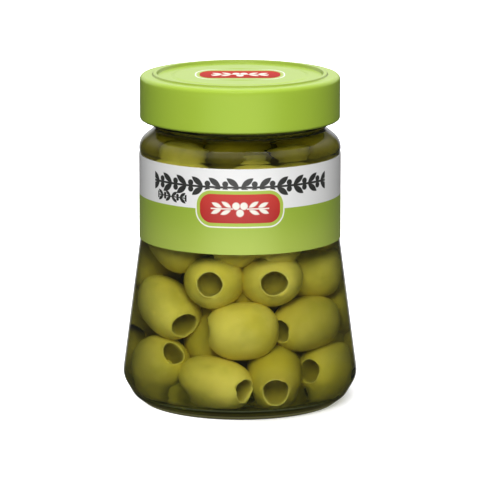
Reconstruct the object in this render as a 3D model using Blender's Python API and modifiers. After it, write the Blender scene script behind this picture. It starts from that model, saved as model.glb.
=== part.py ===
# Shut glass jar of pitted green olives, with a twist-off lid and a paper label.
# Metres, +Z up. The origin is the middle of the ring that the jar stands on, and -Y is the jar's front.
# Four solids: the glass, the lid, the label and the heap of olives. The brine round the olives has no solid.

import math

import bmesh
import bpy
import numpy as np
from mathutils import Matrix, Vector

MM = 0.001
AROUND = 44                       # sides of every turned piece

# Glass: the outside
BASE_RING_INNER = 29.6 * MM       # the flat ring that touches the table
BASE_RING_OUTER = 32.5 * MM
PUSH_UP = 2.4 * MM                # how far the underside rises in the middle
HEEL_RADIUS = 35.7 * MM
HEEL_HEIGHT = 2.6 * MM
BELLY_RADIUS = 39.1 * MM          # the widest place
BELLY_HEIGHT = 8.6 * MM
PANEL_RADIUS = 32.85 * MM         # the straight band that carries the label
PANEL_BOTTOM = 54.3 * MM
PANEL_TOP = 83.9 * MM
SHOULDER_RADIUS = 33.25 * MM
SHOULDER_HEIGHT = 87.2 * MM
NECK_RADIUS = 28.2 * MM
NECK_BOTTOM = 91.2 * MM
BEAD_RADIUS = 29.6 * MM           # the ring of glass just under the lid's edge
BEAD_BOTTOM = 93.0 * MM
BEAD_TOP = 96.0 * MM
FINISH_RADIUS = 29.0 * MM         # the neck inside the lid
RIM_TOP = 107.4 * MM

# Glass: the inside
WALL = 2.3 * MM
FLOOR_MIDDLE = 4.9 * MM
FLOOR_EDGE = 3.5 * MM
BORE_RADIUS = 26.0 * MM           # inside the neck
BORE_BOTTOM = 89.6 * MM

# Lid
LID_RADIUS = 33.15 * MM
LID_TOP = 109.2 * MM
LID_BOTTOM = 94.2 * MM
LID_CORNER = 1.5 * MM             # rounding between its top and its side
LID_SHEET = 0.5 * MM
RIDGE_RADIUS = 28.1 * MM          # the low ridge round the sunken panel
RIDGE_RISE = 0.55 * MM            # over the flat ring outside it
PANEL_SUNK = 1.05 * MM
BUTTON_RADIUS = 21.5 * MM         # the raised middle of the panel
BUTTON_RISE = 0.35 * MM
CURL = 0.9 * MM                   # radius of the rolled edge

# Label
LABEL_RADIUS = 33.15 * MM         # its inner face, 0.3 mm off the glass
LABEL_THICKNESS = 0.15 * MM
LABEL_BOTTOM = 55.0 * MM
LABEL_TOP = 83.1 * MM
BAND_EDGE = 69.8 * MM             # where the white band meets the green one
LABEL_GAP = 4.0                   # degrees left bare at the back

# Olives
OLIVE_AROUND = 9                  # few sides, because there are many
OLIVE_RADIUS = 8.9 * MM
OLIVE_HALF = 10.9 * MM            # half its length
HOLE_RADIUS = 4.0 * MM            # the opening that the stone left
HOLE_DEPTH = 8.0 * MM
CLEARANCE = 0.5 * MM              # between an olive and the glass
HEAP_TOP = 85.4 * MM
SEED = 11

# The olives that show at the front, placed by hand.
# Degrees round from the front, height (mm), space to the glass (mm), where the hole points
# (degrees round from the front, degrees up), length, width and tallness as shares of the usual.
FRONT_OLIVES = (
    (-21, 43.5, 0.0, -12, 6, 0.96, 1.00, 1.00),
    (27, 44.0, 0.0, 8, 4, 0.96, 1.06, 0.98),
    (73, 44.0, 0.0, -62, 4, 1.00, 0.96, 0.98),
    (-57, 55.2, 0.0, -140, 35, 1.00, 0.98, 1.00),
    (-62, 33.5, 0.0, 24, -20, 1.08, 1.02, 1.00),
    (3, 28.3, 0.0, -94, -4, 0.96, 1.06, 1.08),
    (54, 28.5, 0.0, -40, -3, 1.10, 1.02, 1.00),
    (-63, 12.6, 0.0, 22, 31, 1.00, 1.00, 1.00),
    (-17, 12.0, 0.0, 47, -7, 1.12, 0.90, 0.85),
    (24.5, 12.8, 0.8, 6, -19, 1.00, 0.92, 0.99),
    (67, 12.8, 0.0, -26, 5, 0.98, 0.90, 0.95),
    (-33, 24.0, 13.0, 170, 72, 1.00, 0.90, 0.94),
    (0, 57.5, 4.0, -70, -30, 0.98, 0.98, 1.00),
    (34, 58.4, 1.5, -30, -52, 0.96, 0.96, 1.00),
    (-50, 75.8, 0.0, -140, 4, 1.04, 1.04, 1.00),
    (12.5, 75.0, 0.0, 100, -4, 0.98, 1.00, 0.98),
    (47, 73.8, 3.5, 132, 12, 1.00, 1.00, 0.98),
)

# The rest of the heap: rings against the glass, as height (mm) and number of olives, and a few in the middle.
RINGS = ((14.2, 8), (28.4, 8), (42.4, 7), (55.6, 7), (65.5, 6), (72.4, 6))
MIDDLE = (16.0, 33.0, 50.0, 66.0, 77.0)
CORE_RADIUS = 19.0 * MM           # the bare core under the olives that show
CORE_TOP_RADIUS = 15.5 * MM

JAR = bpy.data.collections.new("jar_of_olives")
HELPERS = bpy.data.collections.new("helpers")


def clear_scene():
    for thing in list(bpy.data.objects):
        bpy.data.objects.remove(thing, do_unlink=True)
    for collection in (JAR, HELPERS):
        bpy.context.scene.collection.children.link(collection)
    HELPERS.hide_render = True


def material(name, colour, roughness, metallic=0.0, clear=0.0):
    made = bpy.data.materials.new(name)
    made.use_nodes = True
    shader = made.node_tree.nodes["Principled BSDF"]
    shader.inputs["Base Color"].default_value = (*colour, 1.0)
    shader.inputs["Roughness"].default_value = roughness
    shader.inputs["Metallic"].default_value = metallic
    shader.inputs["Transmission Weight"].default_value = clear
    made.diffuse_color = (*colour, 1.0)
    return made


def rounded(corners, arc_steps=2):
    """Points of an outline through (radius, height, rounding) corners, each rounding an arc."""
    points = [Vector(corners[0][:2])]
    for before, corner, after in zip(corners, corners[1:], corners[2:]):
        middle, rounding = Vector(corner[:2]), corner[2]
        back = (Vector(before[:2]) - middle).normalized()
        ahead = (Vector(after[:2]) - middle).normalized()
        opening = back.angle(ahead)
        if rounding <= 0 or opening > math.radians(179):
            points.append(middle)
            continue
        reach = rounding / math.tan(opening / 2)
        centre = middle + (back + ahead).normalized() * rounding / math.sin(opening / 2)
        first = middle + back * reach - centre
        turn = first.angle_signed(middle + ahead * reach - centre)
        for step in range(arc_steps + 1):
            arm = Matrix.Rotation(-turn * step / arc_steps, 2) @ first
            points.append(centre + arm)
    points.append(Vector(corners[-1][:2]))
    return points


def turned(name, outline, steps=AROUND, degrees=360.0):
    """A surface turned about Z from an outline of (radius, height) points, which runs down its outer side."""
    mesh = bpy.data.meshes.new(name)
    points = [(point[0], 0.0, point[1]) for point in outline]
    edges = [(i, i + 1) for i in range(len(points) - 1)]
    mesh.from_pydata(points, edges, [])
    made = bpy.data.objects.new(name, mesh)
    JAR.objects.link(made)
    screw = made.modifiers.new("turn", "SCREW")
    screw.angle = math.radians(degrees)
    screw.steps = screw.render_steps = steps
    screw.use_merge_vertices = True
    screw.merge_threshold = 0.00002
    screw.use_smooth_shade = True
    return made


def as_mesh(thing):
    """The object with its modifiers applied."""
    bpy.context.view_layer.update()
    graph = bpy.context.evaluated_depsgraph_get()
    mesh = bpy.data.meshes.new_from_object(thing.evaluated_get(graph))
    thing.modifiers.clear()
    thing.data = mesh
    return thing


def crisp(thing, degrees=35.0):
    thing.data.shade_smooth()
    thing.data.set_sharp_from_angle(angle=math.radians(degrees))


def inside_outline():
    """The inside of the glass, from the middle of its floor up to the rim."""
    return rounded([
        (0.0, FLOOR_MIDDLE, 0),
        (BASE_RING_INNER, FLOOR_EDGE, 3 * MM),
        (HEEL_RADIUS - WALL + 0.5 * MM, FLOOR_EDGE + 0.5 * MM, 3 * MM),
        (BELLY_RADIUS - WALL, BELLY_HEIGHT + 0.6 * MM, 6 * MM),
        (PANEL_RADIUS - WALL, PANEL_BOTTOM, 14 * MM),
        (PANEL_RADIUS - WALL, PANEL_TOP + 2.8 * MM, 4 * MM),
        (BORE_RADIUS, BORE_BOTTOM, 1.5 * MM),
        (BORE_RADIUS, RIM_TOP - 1.0 * MM, 0),
    ])


def glass_jar():
    inside = inside_outline()
    outside = rounded([
        (BORE_RADIUS + 0.8 * MM, RIM_TOP, 0),
        (FINISH_RADIUS, RIM_TOP, 0.8 * MM),
        (FINISH_RADIUS, BEAD_TOP, 0),
        (BEAD_RADIUS, BEAD_TOP - 0.7 * MM, 0),
        (BEAD_RADIUS, BEAD_BOTTOM, 0.6 * MM),
        (NECK_RADIUS, BEAD_BOTTOM - 1.2 * MM, 0),
        (NECK_RADIUS, NECK_BOTTOM, 1.0 * MM),
        (SHOULDER_RADIUS, SHOULDER_HEIGHT, 5 * MM),
        (SHOULDER_RADIUS, PANEL_TOP + 0.8 * MM, 0),
        (PANEL_RADIUS, PANEL_TOP - 1.0 * MM, 0),
        (PANEL_RADIUS, PANEL_BOTTOM, 14 * MM),
        (BELLY_RADIUS, BELLY_HEIGHT, 7 * MM),
        (HEEL_RADIUS, HEEL_HEIGHT, 5 * MM),
        (BASE_RING_OUTER, 0.0, 1.6 * MM),
        (BASE_RING_INNER, 0.0, 0),
        (BASE_RING_INNER - 1.6 * MM, PUSH_UP / 3, 0),
        (0.0, PUSH_UP, 0),
    ])
    jar = turned("glass_jar", inside + outside)
    jar.data.materials.append(material("clear_glass", (0.80, 0.86, 0.74), 0.02, clear=1.0))
    return jar


def lid():
    curl = [
        (LID_RADIUS - CURL * (1 - math.cos(angle)), LID_BOTTOM + CURL * (1 - math.sin(angle)))
        for angle in (math.radians(step) for step in (0, 60, 120, 180))
    ]
    top = rounded([
        (0.0, LID_TOP - PANEL_SUNK + BUTTON_RISE, 0),
        (BUTTON_RADIUS, LID_TOP - PANEL_SUNK + BUTTON_RISE, 0),
        (BUTTON_RADIUS + 1.2 * MM, LID_TOP - PANEL_SUNK, 0),
        (RIDGE_RADIUS - 1.1 * MM, LID_TOP - PANEL_SUNK, 0),
        (RIDGE_RADIUS - 0.7 * MM, LID_TOP, 0),
        (RIDGE_RADIUS + 0.5 * MM, LID_TOP, 0),
        (RIDGE_RADIUS + 0.8 * MM, LID_TOP - RIDGE_RISE, 0),
        (LID_RADIUS, LID_TOP - RIDGE_RISE, LID_CORNER),
        (LID_RADIUS, LID_BOTTOM + CURL * 1.2, 0),
    ])
    shell = turned("lid", top + [Vector(point) for point in curl])
    sheet = shell.modifiers.new("sheet", "SOLIDIFY")
    sheet.thickness = LID_SHEET
    sheet.offset = -1.0
    shell.data.materials.append(material("green_lacquer", (0.40, 0.55, 0.07), 0.35))
    return shell


def label():
    """A paper strip round the straight band, white above and green below, with its ends apart at the back."""
    heights = (LABEL_TOP, BAND_EDGE, LABEL_BOTTOM)
    strip = turned("label", [(LABEL_RADIUS, height) for height in heights], degrees=360.0 - LABEL_GAP)
    strip.rotation_euler.z = math.radians(90.0 + LABEL_GAP / 2)
    paper = strip.modifiers.new("paper", "SOLIDIFY")
    paper.thickness = LABEL_THICKNESS
    paper.offset = 1.0
    as_mesh(strip)
    strip.data.materials.append(material("white_paper", (0.86, 0.86, 0.85), 0.45))
    strip.data.materials.append(material("green_paper", (0.42, 0.57, 0.09), 0.45))
    for face in strip.data.polygons:
        face.material_index = int(face.center.z < BAND_EDGE)
    return strip


def inner_radius(height):
    """Radius of the glass's inside at each height, from the lowest part of the floor up."""
    outline = np.array([tuple(point) for point in inside_outline()])
    outline = outline[np.argmin(outline[:, 1]):]
    return np.interp(height, outline[:, 1], outline[:, 0])


def floor_height(radius):
    return np.interp(radius, (0.0, BASE_RING_INNER), (FLOOR_MIDDLE, FLOOR_EDGE))


def pointing(around, up):
    """Unit vector that points so many degrees round from the front and so many degrees up."""
    around, up = math.radians(around), math.radians(up)
    return np.array([math.sin(around) * math.cos(up), -math.cos(around) * math.cos(up), math.sin(up)])


def against_glass(around, height, space, radius):
    reach = inner_radius(height) - radius - CLEARANCE - space
    return pointing(around, 0) * reach + np.array([0.0, 0.0, height])


def first_places(draw):
    """Where every olive starts: the front ones by hand, then rings with a little disorder, then the middle."""
    olives = []
    for around, height, space, hole_around, hole_up, length, wide, tall in FRONT_OLIVES:
        radius = OLIVE_RADIUS * (wide + tall) / 2
        olives.append({
            "centre": against_glass(around, height * MM, space * MM, radius),
            "hole": pointing(hole_around, hole_up),
            "half": OLIVE_HALF * length, "radius": radius, "held": True, "shows": True,
            "wide": OLIVE_RADIUS * wide, "tall": OLIVE_RADIUS * tall,
        })
    by_hand = [olive["centre"] for olive in olives]
    for ring, (height, count) in enumerate(RINGS):
        for place in range(count):
            around = 360.0 * (place + 0.5 * (ring % 2)) / count + draw.uniform(-5, 5)
            radius = OLIVE_RADIUS * draw.uniform(0.95, 1.03)
            centre = against_glass(around, (height + draw.uniform(-1.2, 1.2)) * MM, 0.0, radius)
            hole = pointing(around + draw.normal(0, 55), draw.normal(0, 35))
            half = OLIVE_HALF * draw.uniform(0.96, 1.08)
            if min(np.linalg.norm(centre - other) for other in by_hand) > 1.25 * OLIVE_RADIUS:
                olives.append({
                    "centre": centre, "hole": hole, "half": half, "radius": radius,
                    "held": False, "shows": True, "wide": radius, "tall": radius,
                })
    for place, height in enumerate(MIDDLE):
        centre = pointing(137.5 * place, 0) * 4 * MM + np.array([0.0, 0.0, height * MM])
        olives.append({
            "centre": centre, "hole": pointing(draw.uniform(0, 360), draw.uniform(-60, 60)),
            "half": OLIVE_HALF, "radius": OLIVE_RADIUS * 0.95, "held": False, "shows": False,
            "wide": OLIVE_RADIUS * 0.95, "tall": OLIVE_RADIUS * 0.95,
        })
    return olives


def settle(olives, rounds=260):
    """Pushes overlapping olives apart and back inside the glass. Each counts as two balls along its length."""
    centre = np.array([olive["centre"] for olive in olives])
    arm = np.array([olive["hole"] * (olive["half"] - olive["radius"]) for olive in olives])
    size = np.array([olive["radius"] for olive in olives])
    free = np.array([0.0 if olive["held"] else 1.0 for olive in olives])
    shows = np.array([olive["shows"] for olive in olives])
    count = len(olives)
    owner = np.tile(np.arange(count), 2)
    apart = size[owner][:, None] + size[owner][None, :]
    same = owner[:, None] == owner[None, :]
    for _ in range(rounds):
        ball = np.concatenate([centre + arm, centre - arm])
        gap = ball[:, None] - ball[None, :]
        distance = np.linalg.norm(gap, axis=2) + 1e-9
        push = np.where(same, 0.0, np.clip(apart - distance, 0.0, None))
        weight = np.where(free[owner][None, :] > 0, 0.5, 1.0)
        shove = (gap / distance[..., None] * (push * weight)[..., None]).sum(axis=1) * 0.35
        moved = shove[:count] + shove[count:]
        centre += moved * free[:, None]
        height = np.clip(centre[:, 2], FLOOR_EDGE + size + 0.6 * MM, HEAP_TOP - size * 1.2)
        centre[:, 2] = np.where(free > 0, height, centre[:, 2])
        tip = np.abs(arm[:, 2])
        room = np.minimum(inner_radius(centre[:, 2] + size * 0.5), inner_radius(centre[:, 2] - size * 0.5))
        outward = centre[:, :2] / (np.linalg.norm(centre[:, :2], axis=1)[:, None] + 1e-9)
        side = np.abs((arm[:, :2] * outward).sum(axis=1))
        reach = room - size - side - CLEARANCE - 0.15 * tip
        now = np.linalg.norm(centre[:, :2], axis=1)
        wanted = np.where(now > reach, reach, np.where(shows, now + 0.1 * (reach - now), now))
        centre[:, :2] = np.where(free[:, None] > 0, outward * wanted[:, None], centre[:, :2])
    for olive, place in zip(olives, centre):
        olive["centre"] = place
        seat(olive)
    return olives


def turn_of(olive):
    """How the olive is turned: its hole along its own Z, its width level and its own Y as upright as it can be."""
    hole = Vector(olive["hole"])
    level = Vector((0, 0, 1)).cross(hole).normalized()
    return Matrix((level, hole.cross(level), hole)).transposed()


def seat(olive):
    """Moves one olive in or up until all of its skin is clear of the glass."""
    around, share = np.meshgrid(np.linspace(0, 2 * math.pi, 25), np.linspace(-1, 1, 17))
    ring = (1 - abs(0.93 * share) ** 2.6) ** (1 / 2.05)
    skin = np.stack([
        olive["wide"] * ring * np.cos(around),
        olive["tall"] * ring * np.sin(around),
        olive["half"] * share,
    ], axis=-1).reshape(-1, 3) @ np.array(turn_of(olive)).T
    for _ in range(9):
        point = skin + olive["centre"]
        lowest = floor_height(np.hypot(point[:, 0], point[:, 1])) + CLEARANCE
        rise = max(0.0, (lowest - point[:, 2]).max())
        fall = max(0.0, (point[:, 2] - HEAP_TOP).max())
        olive["centre"] += np.array([0.0, 0.0, rise - fall])
        point = skin + olive["centre"]
        past = np.hypot(point[:, 0], point[:, 1]) - inner_radius(point[:, 2]) + CLEARANCE
        inward = np.array([olive["centre"][0], olive["centre"][1], 0.0])
        inward /= -np.linalg.norm(inward) - 1e-9
        olive["centre"] += inward * max(0.0, past.max())


def olive_shape(name, opened):
    """One olive with few sides, its length along Z: a blunt barrel, sliced off at the hole where the hole shows."""
    across = (1 - (HOLE_RADIUS / OLIVE_RADIUS) ** 2.05) ** (1 / 2.6)
    last = math.pi - math.acos(across) if opened else math.pi
    skin = []
    for angle in np.linspace(last, 0.0, 7 if opened else 8):
        share = -math.cos(angle)
        skin.append((OLIVE_RADIUS * max(0.0, 1 - abs(share) ** 2.6) ** (1 / 2.05), share))
    top = skin[0][1]
    middle, fit = (top - 1) / 2, 2 / (top + 1)
    skin = [(radius, (share - middle) * fit * OLIVE_HALF) for radius, share in skin]
    floor = OLIVE_HALF - HOLE_DEPTH
    channel = [(0.0, floor), (HOLE_RADIUS * 0.8, floor)] if opened else []
    skin[-1] = (0.0, -OLIVE_HALF)
    if not opened:
        skin[0] = (0.0, OLIVE_HALF)
    shape = turned(name, channel + skin, steps=OLIVE_AROUND)
    as_mesh(shape)
    JAR.objects.unlink(shape)
    return shape.data


def placed_olive(name, shapes, olive):
    outward = np.array([olive["centre"][0], olive["centre"][1], 0.0])
    outward /= np.linalg.norm(outward) + 1e-9
    opened = float(np.dot(outward, olive["hole"])) > -0.25
    made = bpy.data.objects.new(name, shapes[opened])
    size = (olive["wide"] / OLIVE_RADIUS, olive["tall"] / OLIVE_RADIUS, olive["half"] / OLIVE_HALF, 1.0)
    place = Matrix.Translation(olive["centre"]) @ turn_of(olive).to_4x4()
    made.matrix_world = place @ Matrix.Diagonal(size)
    return made


def largest_body(mesh):
    """Keeps the one outer skin: sealed hollows are filled and loose scraps are dropped."""
    work = bmesh.new()
    work.from_mesh(mesh)
    waiting, bodies = set(work.verts), []
    while waiting:
        body, edge_of_body = set(), [waiting.pop()]
        while edge_of_body:
            point = edge_of_body.pop()
            body.add(point)
            for edge in point.link_edges:
                other = edge.other_vert(point)
                if other in waiting:
                    waiting.discard(other)
                    edge_of_body.append(other)
        bodies.append(body)
    bodies.sort(key=len)
    for body in bodies[:-1]:
        bmesh.ops.delete(work, geom=list(body), context="VERTS")
    work.to_mesh(mesh)
    work.free()


def heap_of_olives():
    """The bare core with the olives that show joined on."""
    draw = np.random.default_rng(SEED)
    olives = settle(first_places(draw))
    shapes = {True: olive_shape("opened_olive", True), False: olive_shape("whole_olive", False)}
    joined = bpy.data.collections.new("olives_to_join")
    HELPERS.children.link(joined)
    for number, olive in enumerate(olives):
        if olive["shows"]:
            joined.objects.link(placed_olive(f"olive_{number:02d}", shapes, olive))
    core = turned("olives", [
        (0.0, HEAP_TOP - 3 * MM), (CORE_TOP_RADIUS * 0.7, HEAP_TOP - 4 * MM),
        (CORE_TOP_RADIUS, HEAP_TOP - 10 * MM), (CORE_TOP_RADIUS, PANEL_BOTTOM),
        (CORE_RADIUS, 18 * MM), (CORE_RADIUS * 0.9, FLOOR_MIDDLE + 3 * MM),
        (0.0, FLOOR_MIDDLE + 2 * MM),
    ], steps=16)
    as_mesh(core)
    join = core.modifiers.new("join", "BOOLEAN")
    join.operation = "UNION"
    join.operand_type = "COLLECTION"
    join.collection = joined
    join.solver = "MANIFOLD"
    as_mesh(core)
    for thing in list(joined.objects):
        bpy.data.objects.remove(thing, do_unlink=True)
    largest_body(core.data)
    core.data.materials.clear()
    core.data.materials.append(material("olive_skin", (0.50, 0.45, 0.10), 0.35))
    crisp(core, 50.0)
    return core


def main():
    clear_scene()
    glass_jar()
    lid()
    label()
    heap_of_olives()


main()
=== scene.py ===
import math

import bpy
import numpy as np
from mathutils import Matrix, Vector


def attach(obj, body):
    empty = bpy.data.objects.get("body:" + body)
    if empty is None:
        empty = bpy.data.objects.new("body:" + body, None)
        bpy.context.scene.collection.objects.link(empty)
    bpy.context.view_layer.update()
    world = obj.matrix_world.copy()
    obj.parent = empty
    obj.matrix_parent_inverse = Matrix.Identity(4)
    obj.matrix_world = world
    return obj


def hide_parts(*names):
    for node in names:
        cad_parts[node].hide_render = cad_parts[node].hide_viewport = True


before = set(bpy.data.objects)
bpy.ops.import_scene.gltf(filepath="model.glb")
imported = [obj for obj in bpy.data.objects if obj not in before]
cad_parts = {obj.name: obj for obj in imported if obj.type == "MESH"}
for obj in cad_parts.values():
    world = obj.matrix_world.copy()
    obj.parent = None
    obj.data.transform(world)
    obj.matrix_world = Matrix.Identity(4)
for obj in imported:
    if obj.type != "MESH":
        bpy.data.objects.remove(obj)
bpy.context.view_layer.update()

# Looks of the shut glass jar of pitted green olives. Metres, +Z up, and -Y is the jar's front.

MM = 0.001

# Glass
BASE_RING_INNER = 29.6 * MM       # the flat ring that touches the table
BASE_RING_OUTER = 32.5 * MM
PUSH_UP = 2.4 * MM                # how far the underside rises in the middle
HEEL_RADIUS = 35.7 * MM
HEEL_HEIGHT = 2.6 * MM
BELLY_RADIUS = 39.1 * MM          # the widest place
BELLY_HEIGHT = 8.6 * MM
PANEL_RADIUS = 33.05 * MM         # the straight band that carries the label
PANEL_BOTTOM = 54.3 * MM
PANEL_TOP = 83.9 * MM
SHOULDER_RADIUS = 33.25 * MM
SHOULDER_HEIGHT = 87.2 * MM
NECK_RADIUS = 28.2 * MM
NECK_BOTTOM = 91.2 * MM
BEAD_RADIUS = 29.6 * MM           # the ring of glass just under the lid's edge
BEAD_BOTTOM = 93.0 * MM
BEAD_TOP = 96.0 * MM
FINISH_RADIUS = 29.0 * MM         # the neck inside the lid
RIM_TOP = 107.4 * MM
WALL = 2.3 * MM
FLOOR_MIDDLE = 4.9 * MM
FLOOR_EDGE = 3.5 * MM
BORE_RADIUS = 26.0 * MM           # inside the neck
BORE_BOTTOM = 89.6 * MM
AROUND_GLASS = 160                # sides of the round
FINEST_GLASS = 2.5 * MM           # longest straight run of its outline

# Brine
BRINE_INTO_WALL = 0.25 * MM       # how far it reaches into the glass
BRINE_TOP = 102.5 * MM

# Lid
LID_RADIUS = 32.95 * MM
LID_TOP = 109.5 * MM
LID_BOTTOM = 94.2 * MM
LID_CORNER = 1.5 * MM             # rounding between its top and its side
LID_SHEET = 0.35 * MM
RIDGE_RADIUS = 28.1 * MM          # the low ridge round the sunken panel
RIDGE_RISE = 0.55 * MM            # over the flat ring outside it
PANEL_SUNK = 1.05 * MM
BUTTON_RADIUS = 21.5 * MM         # the raised middle of the panel
BUTTON_RISE = 0.35 * MM
CURL = 0.9 * MM                   # radius of the rolled edge
CURL_DEGREES = 300
AROUND_LID = 192

# Label
LABEL_RADIUS = 33.16 * MM         # its inner face
LABEL_THICKNESS = 0.12 * MM
LABEL_BOTTOM = 55.0 * MM
LABEL_TOP = 83.1 * MM
BAND_EDGE = 69.8 * MM             # where the white band meets the green one
LABEL_GAP = 4.0                   # degrees left bare at the back
LABEL_ROWS = 15
AROUND_LABEL = 178

# Print. A garland is drawn once, at the long one's pitch, and scaled for the short one.
GARLAND_PITCH = 5.9 * MM          # from one pair of leaves to the next
GARLAND_PAIRS = 5.5               # to each side of the garland's middle
GARLAND_HEIGHT = 77.1 * MM
SHORT_PITCH = 3.4 * MM
SHORT_PAIRS = 1.86
SHORT_HEIGHT = 72.7 * MM
SHORT_TO_LEFT = 24.4 * MM         # from the label's middle
EMBLEM_HEIGHT = 70.1 * MM
EMBLEM_HALF_WIDE = 14.8 * MM
EMBLEM_HALF_HIGH = 6.3 * MM
EMBLEM_LINE = 0.45 * MM           # width of the pale line round it
EMBLEM_EDGE = 1.55 * MM           # width of the line and the green margin together
LID_EMBLEM_SQUASH = 0.62          # the lid's emblem is deeper than the label's by one over this
# The sprig, as shares of its size, for one side: where each fruit is, and where each leaf is and its tilt.
SPRIG_FRUITS = ((0.22, 0.16), (0.0, -0.24))
SPRIG_LEAVES = (
    ((0.76, 0.24), 0.55),
    ((0.80, -0.20), -0.40),
    ((1.30, 0.20), 0.42),
    ((1.34, -0.16), -0.42),
)

# Olives
OLIVE_RADIUS = 8.9 * MM
OLIVE_HALF = 10.9 * MM            # half its length
OLIVE_END = 1 / 2.05              # power that rounds its outline towards the ends
HOLE_RADIUS = 4.0 * MM            # the opening that the stone left
HOLE_LIP = 0.42 * MM              # from the hole to the skin's sliced edge
CLEARANCE = 0.35 * MM             # between an olive and the glass
HEAP_TOP = 85.4 * MM
SEED = 11
# Shapes of olive: the hole's width as a share of the usual, its depth (mm), and how blunt the barrel is.
OLIVE_KINDS = ((1.0, 8, 2.5), (1.08, 7, 2.7), (0.92, 9, 2.4), (1.04, 8, 2.8), (0.86, 9, 2.5))
# The olives that show at the front, listed one by one.
# Degrees round from the front, height (mm), space to the glass (mm), where the hole points
# (degrees round from the front, degrees up), length, width and tallness as shares of the usual.
FRONT_OLIVES = (
    (-21, 43.5, 0.0, -12, 6, 0.96, 1.00, 1.00),
    (27, 44.0, 0.0, 8, 4, 0.96, 1.06, 0.98),
    (73, 44.0, 0.0, -62, 4, 1.00, 0.96, 0.98),
    (-57, 55.2, 0.0, -140, 35, 1.00, 0.98, 1.00),
    (-62, 33.5, 0.0, 24, -20, 1.08, 1.02, 1.00),
    (3, 28.3, 0.0, -94, -4, 0.96, 1.06, 1.08),
    (54, 28.5, 0.0, -40, -3, 1.10, 1.02, 1.00),
    (-63, 12.6, 0.0, 22, 31, 1.00, 1.00, 1.00),
    (-17, 12.0, 0.0, 47, -7, 1.12, 0.90, 0.85),
    (24.5, 12.8, 0.8, 6, -19, 1.00, 0.92, 0.99),
    (67, 12.8, 0.0, -26, 5, 0.98, 0.90, 0.95),
    (-33, 24.0, 13.0, 170, 72, 1.00, 0.90, 0.94),
    (0, 57.5, 4.0, -70, -30, 0.98, 0.98, 1.00),
    (34, 58.4, 1.5, -30, -52, 0.96, 0.96, 1.00),
    (-50, 75.8, 0.0, -140, 4, 1.04, 1.04, 1.00),
    (12.5, 75.0, 0.0, 100, -4, 0.98, 1.00, 0.98),
    (47, 73.8, 3.5, 132, 12, 1.00, 1.00, 0.98),
)
# How light each of them is, from 0 to 1: partly the olive's own tone, partly painted light and shade for
# how it is lit.
FRONT_TONES_AND_PAINTED_LIGHT = (
    1.0, 0.75, 0.80, 0.5, 1.0, 0.92, 0.42, 0.48, 0.80,
    0.0, 0.4, 0.45, 0.75, 0.65, 1.0, 1.0, 0.45,
)
# Four more in the second row, which show through the gaps, with rows of the same kind, and their tones,
# which are painted light and shade set for how each is lit.
BEHIND_OLIVES = (
    (3, 37.5, 12.5, 80, 10, 0.95, 0.95, 0.95),
    (-60, 10.0, 12.5, -60, 5, 0.85, 0.78, 0.78),
    (78, 18.0, 9.5, 140, 10, 0.95, 0.90, 0.90),
    (44, 10.5, 13.5, -50, 5, 0.90, 0.80, 0.80),
)
BEHIND_TONES_AND_PAINTED_LIGHT = (0.0, 1.0, 0.6, 1.0)
# The rest of the heap: rings against the glass, as height (mm) and number of olives, then a few in the
# middle, as height (mm). A ring's olives have tones between the two given.
RINGS = ((14.2, 8), (28.4, 8), (42.4, 7), (55.6, 7), (65.5, 6), (72.4, 6))
RING_TONES = (0, 0.5)
MIDDLE = (16.0, 33.0, 50.0, 66.0, 77.0)
MIDDLE_TURN = 137.5               # degrees from one of the middle ones to the next
MIDDLE_SHARE = 0.95               # their size as a share of the usual
# The core in the middle of the heap, painted dark as shade, as radius and height (mm).
CORE_OUTLINE = ((0, 79), (9, 78), (11, 70), (11, 54), (17, 20), (17, 8), (0, 7))
AROUND_CORE = 48

# Camera
CAMERA_DISTANCE = 1.30
CAMERA_HEIGHT_DEGREES = 11.2
LOOK_AT = 53.37 * MM
LENS = 294.4

# Studio
FLOOR_LEVEL = -0.03 * MM          # a hair under the jar, so that the two never share a plane
FLOOR_REACH = 6.0
# Each lamp: its place, what it points at, its width and height, its watts, and whether gloss mirrors it.
LAMPS = {
    "front_softbox": ((-0.01, -1.05, 0.72), (0, 0, 0.05), (0.6, 0.6), 16.0, False),
    "left_softbox": ((-0.9, -0.3, 0.30), (0, 0, 0.03), (0.5, 0.5), 0.35, False),
    "back_softbox": ((0.35, 1.1, 0.7), (0, 0, 0.06), (0.6, 0.6), 4.0, False),
    "top_softbox": ((0.0, 0.1, 1.3), (0, 0, 0.05), (0.9, 0.9), 4.5, True),
}


class Value:
    """A number or vector that flows through the nodes, so that shader sums read as plain sums."""

    def __init__(self, nodes, socket):
        self.nodes = nodes
        self.socket = socket

    def math(self, operation, *others):
        return self.nodes.node("Math", {"operation": operation}, dict(enumerate((self, *others))))

    def reflected(self, operation, other):
        return self.nodes.node("Math", {"operation": operation}, {0: other, 1: self})

    def __add__(self, other):
        return self.math("ADD", other)

    def __radd__(self, other):
        return self.reflected("ADD", other)

    def __sub__(self, other):
        return self.math("SUBTRACT", other)

    def __rsub__(self, other):
        return self.reflected("SUBTRACT", other)

    def __mul__(self, other):
        return self.math("MULTIPLY", other)

    def __rmul__(self, other):
        return self.reflected("MULTIPLY", other)

    def __truediv__(self, other):
        return self.math("DIVIDE", other)

    def __rtruediv__(self, other):
        return self.reflected("DIVIDE", other)

    def __neg__(self):
        return self.math("MULTIPLY", -1.0)

    def __abs__(self):
        return self.math("ABSOLUTE")

    def most(self, other):
        return self.math("MAXIMUM", other)

    def root(self):
        return self.math("SQRT")

    def ramp(self, start, end):
        """0 at start, 1 at end, smooth between them. start may be the larger."""
        rises = start <= end
        return self.nodes.node("MapRange", {"interpolation_type": "SMOOTHSTEP"}, {
            "Value": self, "From Min": min(start, end), "From Max": max(start, end),
            "To Min": 0.0 if rises else 1.0, "To Max": 1.0 if rises else 0.0,
        }, out="Result")


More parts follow.
